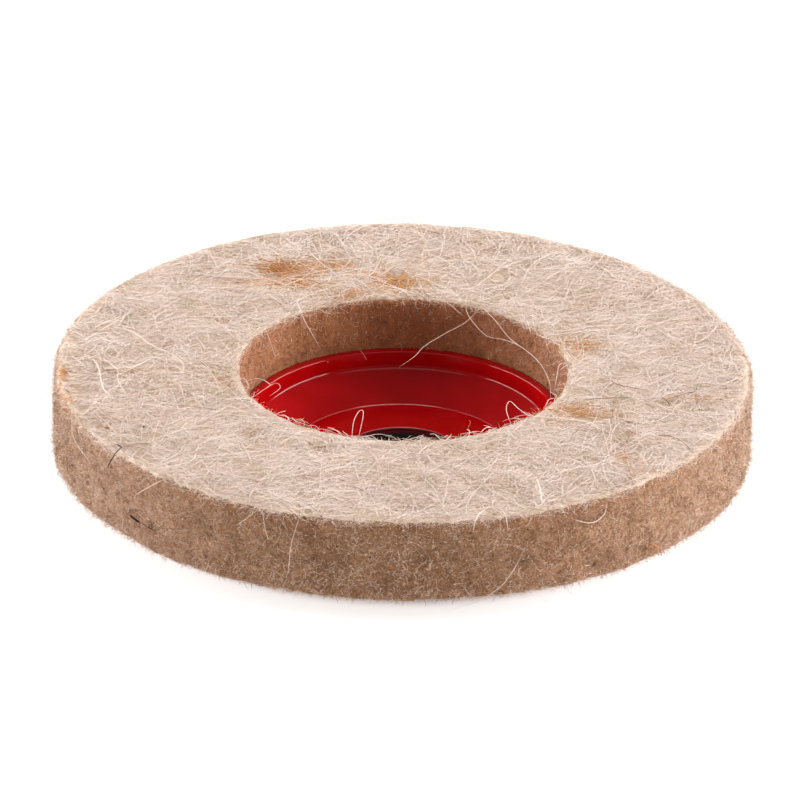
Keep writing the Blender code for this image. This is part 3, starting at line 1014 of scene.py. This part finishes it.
def plate_outline():
    """The plate's section, as in the CAD: flange, hollow collar, dish and hub, from the rim inwards."""
    rim, crest = PLATE_HIGH.x / MM, PLATE_HIGH.z / MM
    flange = [(rim, FLANGE_TOP, 0.4), (rim, BEAD_LEVEL, 0.5), (rim - BEAD_WIDTH, BEAD_LEVEL, 0.2),
              (rim - BEAD_FOOT_WIDTH, FLANGE_BACK, 0.2)]
    hollow = [(21.6, FLANGE_BACK, 0.3), (21.3, 3.73, 0.5), (17.3, 1.38, 0.3), (16.7, 0.0, 0.3)]
    hub = [(BORE, 0.0, 0.4), (BORE, HUB_FLOOR, 0.4), (FLOOR_EDGE, HUB_FLOOR, 0.8)]
    dish = [(WALL_FOOT_RADIUS, WALL_FOOT, 0.9), (CREST_INNER, crest, 0.35), (COLLAR, crest, 0.3)]
    inner, outer, bottom = GLUE_INNER - GAP, GLUE_OUTER + GAP, GLUE_BOTTOM - GAP
    pocket = [(COLLAR, FLANGE_TOP, 0), (inner, FLANGE_TOP, 0), (inner, bottom, 0), (outer, bottom, 0),
              (outer, FLANGE_TOP, 0)]
    return rounded(flange + hollow + hub + dish + pocket)


def ribs(name, section, width, count):
    """Radial ribs of one section (radius, height), in millimetres, set evenly round the axis."""
    bm = bmesh.new()
    for i in range(count):
        turn = Quaternion((0, 0, 1), math.tau * i / count)
        side = [bm.verts.new(turn @ (Vector((r, -width / 2, z)) * MM)) for r, z in section]
        made = bmesh.ops.extrude_face_region(bm, geom=[bm.faces.new(side)])
        moved = [v for v in made["geom"] if isinstance(v, bmesh.types.BMVert)]
        bmesh.ops.translate(bm, verts=moved, vec=turn @ Vector((0, width * MM, 0)))
    bmesh.ops.recalc_face_normals(bm, faces=bm.faces)
    mesh = bpy.data.meshes.new(name)
    bm.to_mesh(mesh)
    bm.free()
    return mesh


def united(name, base, tools):
    """One mesh from a base and the tools that are joined to it."""
    scene = bpy.context.scene.collection.objects
    body = bpy.data.objects.new("body", base)
    helpers = [bpy.data.objects.new(tool.name, tool) for tool in tools]
    scene.link(body)
    for helper in helpers:
        scene.link(helper)
        join = body.modifiers.new(helper.name, "BOOLEAN")
        join.operation = "UNION"
        join.object = helper
    shape = body.evaluated_get(bpy.context.evaluated_depsgraph_get())
    mesh = bpy.data.meshes.new_from_object(shape)
    mesh.name = name
    for extra in [body, *helpers]:
        bpy.data.objects.remove(extra)
    return mesh


def backing_plate(material):
    """The moulded plate, with ribs across the hollow under its collar and along its flange's back."""
    plain = turned_mesh("plain_plate", plate_outline(), PLATE_STEPS)
    under, above = FLANGE_BACK + RIB_RECESS, WALL_FOOT - WALL
    collar = [(16.1, under), (21.8, under), (21.8, above), (21.0, above), (16.1, HUB_FLOOR - 1.0)]
    crest, root = FLANGE_BACK - FLANGE_RIB_HEIGHT, FLANGE_BACK + RIB_OVERLAP
    inner, outer, slope = FLANGE_RIB_INNER, FLANGE_RIB_OUTER, FLANGE_RIB_HEIGHT
    flange = [(inner + slope, crest), (outer - slope, crest), (outer, FLANGE_BACK), (outer, root),
              (inner, root), (inner, FLANGE_BACK)]
    collar_ribs = ribs("collar_ribs", collar, COLLAR_RIB_WIDTH, COLLAR_RIBS)
    flange_ribs = ribs("flange_ribs", flange, FLANGE_RIB_WIDTH, FLANGE_RIBS)
    mesh = united("plate_moulding", plain, [collar_ribs, flange_ribs])
    mesh.materials.clear()
    mesh.materials.append(material)
    mesh.set_sharp_from_angle(angle=math.radians(35))
    plate = new_piece("plate_moulding", mesh)
    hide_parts("backing_plate")


def squeezed(points):
    """The adhesive's outer bead, uneven where the felt pressed it out."""
    radius = np.hypot(points[..., 0], points[..., 1])
    share = np.clip((radius - (PLATE_HIGH.x - 0.5 * MM)) / (0.5 * MM), 0, 1)
    wave = noise_at(points, 5 * MM, 4.4) + 0.6 * noise_at(points, 1.5 * MM, 8.8)
    push = 1 + share * 0.25 * MM * wave / radius
    return points * np.stack([push, push, np.ones_like(push)], axis=-1)


def adhesive(material):
    """The cured film in the flange's pocket, on to the rim, where a bead of it shows under the felt."""
    rim, felt = PLATE_HIGH.x / MM, BACK_Z / MM - 0.02
    top, skin = FLANGE_TOP + 0.02, GLUE_BOTTOM - 0.28
    inner, outer = GLUE_INNER - 0.28, GLUE_OUTER + 0.28
    film = [(inner, felt, 0.1), (rim - 0.3, felt, 0), (rim + 0.1, felt, 0.1), (rim + 0.1, top - 0.1, 0.1),
            (rim - 0.4, top, 0), (outer, top, 0), (outer, skin, 0.1), (inner, skin, 0.1)]
    mesh = turned_mesh("adhesive_film", rounded(film), PLATE_STEPS, squeezed)
    mesh.materials.append(material)
    piece = new_piece("adhesive_film", mesh)
    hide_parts("adhesive_ring")


# ----------------------------------------
# The whole wheel
# ----------------------------------------


# The export thins the STL of a piece of more than 200,000 triangles, so pieces share the fibres out
MAT_PIECES = 6
MAT_FIBRES = 5000
RIM_PIECES = 4
BRISTLES = 13900

# Where loose ends are rooted: the lowest and the highest level of each stretch of wall
AT_FACE = (FACE_Z - 0.6 * MM, FACE_Z)
UNDER_FACE = (FACE_Z - 1.6 * MM, FACE_Z - 0.3 * MM)
WHOLE_RIM = (BACK_Z + 0.2 * MM, FACE_Z - 0.4 * MM)
MOST_OF_RIM = (BACK_Z + 1 * MM, FACE_Z)
AT_BACK = (BACK_Z, BACK_Z + 2.4 * MM)
HOLE_TOP = (FACE_Z - 0.4 * MM, FACE_Z)
ABOVE_COLLAR = (FACE_Z - 7.4 * MM, FACE_Z - 0.2 * MM)

# Loose ends: name, seed, count, wall, stretch of it, reach (mm), thickness (mm), mix, stance
LOOSE_ENDS = [
    ("rim_edge_fuzz", 71, 2600, RIM_WALL, AT_FACE, 0.9, 0.04, FACE_MIX, ANY_WAY),
    ("rim_top_fuzz", 77, 1500, RIM_WALL, UNDER_FACE, 0.6, 0.05, TOP_MIX, ANY_WAY),
    ("rim_wall_fuzz_1", 74, 6000, RIM_WALL, WHOLE_RIM, 0.9, 0.04, BLOOM_MIX, UPWARD),
    ("rim_wall_fuzz_2", 75, 6000, RIM_WALL, WHOLE_RIM, 0.9, 0.04, BLOOM_MIX, UPWARD),
    ("rim_wisps", 86, 380, RIM_WALL, MOST_OF_RIM, 2.8, 0.036, FACE_MIX, ANY_WAY),
    ("back_edge_fuzz", 72, 6000, RIM_WALL, AT_BACK, 0.7, 0.042, LOOSE_MIX, ANY_WAY),
    ("hole_edge_fuzz", 73, 340, HOLE_WALL, HOLE_TOP, 0.8, 0.05, LOOSE_MIX, ANY_WAY),
    ("hole_wall_fuzz", 85, 2600, HOLE_WALL, ABOVE_COLLAR, 0.9, 0.042, LOOSE_MIX, ANY_WAY),
]

make_camera()
make_lights()
make_floor()
wool = wool_looks()
felt_body(felt_look())
for part in range(MAT_PIECES):
    face_mat(f"face_mat_{part + 1}", 11 + part, MAT_FIBRES, wool)
face_strands(wool)
back_mat(wool)
for part in range(RIM_PIECES):
    name = f"rim_bristles_{part + 1}"
    wall_bristles(name, 51 + part, BRISTLES, RIM_WALL, BACK_Z + 0.1 * MM, WALL_MIX, wool)
wall_bristles("hole_bristles", 61, BRISTLES, HOLE_WALL, PLATE_HIGH.z - 0.5 * MM, HOLE_MIX, wool)
for name, seed, count, wall, levels, reach, thick, mix, stance in LOOSE_ENDS:
    fuzz(name, seed, count, wall, levels, reach * MM, thick * MM, mix, stance, wool)
hole_curls(wool)
stray_hairs(wool)
specks(wool)
backing_plate(plastic_look())
adhesive(glue_look())
